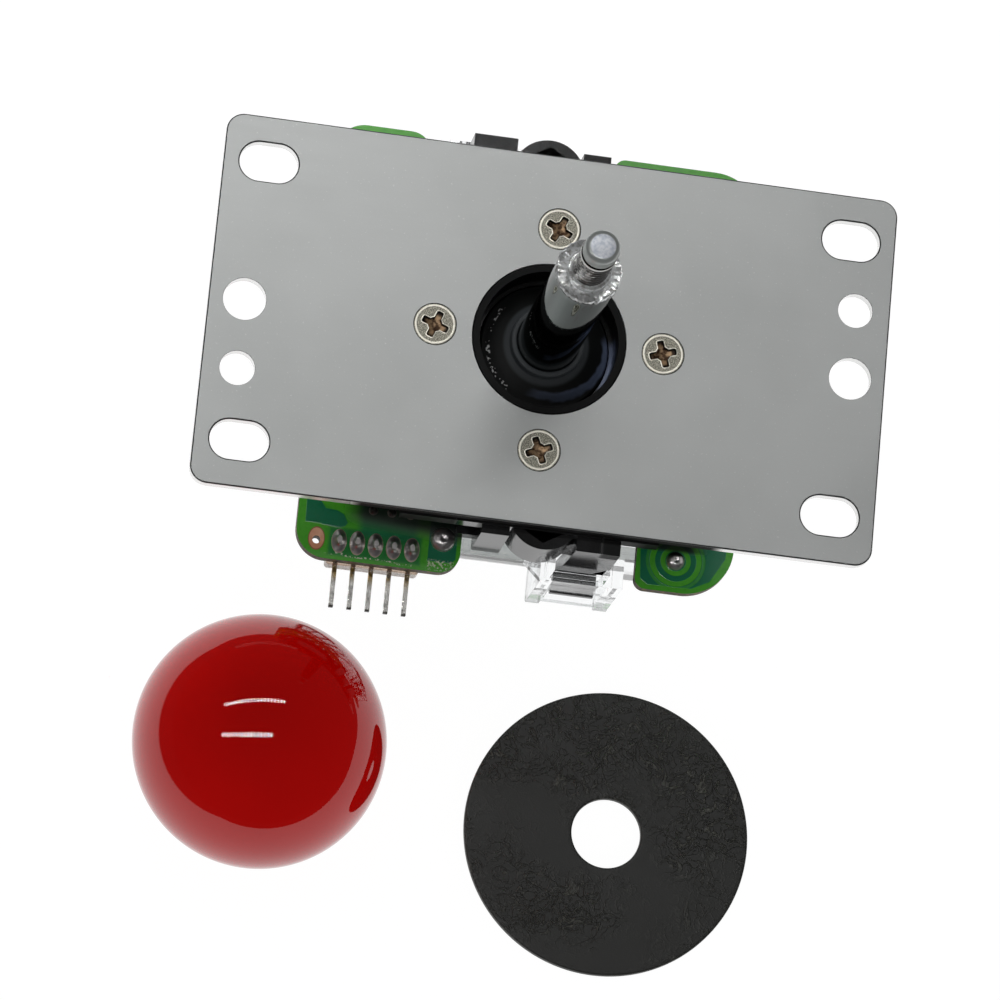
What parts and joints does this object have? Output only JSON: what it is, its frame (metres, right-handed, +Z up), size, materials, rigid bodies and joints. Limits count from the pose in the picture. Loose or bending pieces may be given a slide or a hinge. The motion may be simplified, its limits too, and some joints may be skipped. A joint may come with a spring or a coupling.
{
  "type": "arcade joystick lever",
  "caption": "Panel-mounted arcade joystick with a sprung two-axis lever over side-facing switches, its ball knob and dust washer taken off and lying beside it.",
  "frame": {"origin": "centre of the mounting plate's top face, on the lever's axis", "axes": "+Z up along the lever, X along the plate's long side, -Y towards the pin header"},
  "size_m": [0.0978, 0.1131, 0.0764],
  "materials": {
    "plate_steel": "zinc-plated sheet, satin",
    "screw_steel": "plated, worn in the recesses",
    "black_moulding": "moulded, fine grain",
    "pivot_plastic": "turned and greased",
    "lever_steel": "polished and plated",
    "spring_steel": "drawn wire",
    "board_laminate": "green solder mask over copper",
    "tinned_pins": "tin-plated",
    "header_plastic": "clear beige moulding",
    "solder": "bright solder",
    "clear_gate": "clear polycarbonate, polished",
    "knob_red": "deep red, high gloss",
    "insert_brass": "turned",
    "washer_rubber": "matt black with a fine wrinkled skin",
    "switch_black": "moulded",
    "plunger_plastic": "moulded"
  },
  "bodies": {
    "unit": {"mounting_plate": "plate_steel", "plate_screws": "screw_steel", "plate_nuts": "screw_steel", "housing": "black_moulding", "spring_seat": "pivot_plastic", "circuit_board": "board_laminate", "switch_terminals": "tinned_pins", "header_pins": "tinned_pins", "header_base": "header_plastic", "solder_joints": "solder", "restrictor_gate": "clear_gate", "switch_case_east": "switch_black", "switch_case_north": "switch_black", "switch_case_west": "switch_black", "switch_case_south": "switch_black", "ball_knob": "knob_red", "knob_insert": "insert_brass", "dust_washer": "washer_rubber"},
    "tilt_carrier": {"return_spring": "spring_steel"},
    "lever": {"lever_shaft": "lever_steel", "pivot_ball": "pivot_plastic", "actuator": "pivot_plastic", "retaining_clip": "spring_steel"},
    "plunger_east": {"switch_plunger_east": "plunger_plastic"},
    "plunger_north": {"switch_plunger_north": "plunger_plastic"},
    "plunger_west": {"switch_plunger_west": "plunger_plastic"},
    "plunger_south": {"switch_plunger_south": "plunger_plastic"}
  },
  "joints": [
    {"name": "tilt_to_the_sides", "type": "hinge", "parent": "unit", "child": "tilt_carrier", "pos_m": [0, 0, -0.005], "axis": [1, 0, 0], "range_deg": [-8.5, 8.5], "stiffness_Nm_per_rad": 1.2, "deforming": ["return_spring"]},
    {"name": "tilt_along_the_plate", "type": "hinge", "parent": "tilt_carrier", "child": "lever", "pos_m": [0, 0, -0.005], "axis": [0, 1, 0], "range_deg": [-8.5, 8.5], "stiffness_Nm_per_rad": 1.2},
    {"name": "press_east", "type": "slide", "parent": "unit", "child": "plunger_east", "axis": [1, 0, 0], "range_m": [0, 0.0006], "stiffness_N_per_m": 800, "springref_m": -0.0008},
    {"name": "press_north", "type": "slide", "parent": "unit", "child": "plunger_north", "axis": [0, 1, 0], "range_m": [0, 0.0006], "stiffness_N_per_m": 800, "springref_m": -0.0008},
    {"name": "press_west", "type": "slide", "parent": "unit", "child": "plunger_west", "axis": [-1, 0, 0], "range_m": [0, 0.0006], "stiffness_N_per_m": 800, "springref_m": -0.0008},
    {"name": "press_south", "type": "slide", "parent": "unit", "child": "plunger_south", "axis": [0, -1, 0], "range_m": [0, 0.0006], "stiffness_N_per_m": 800, "springref_m": -0.0008}
  ]
}
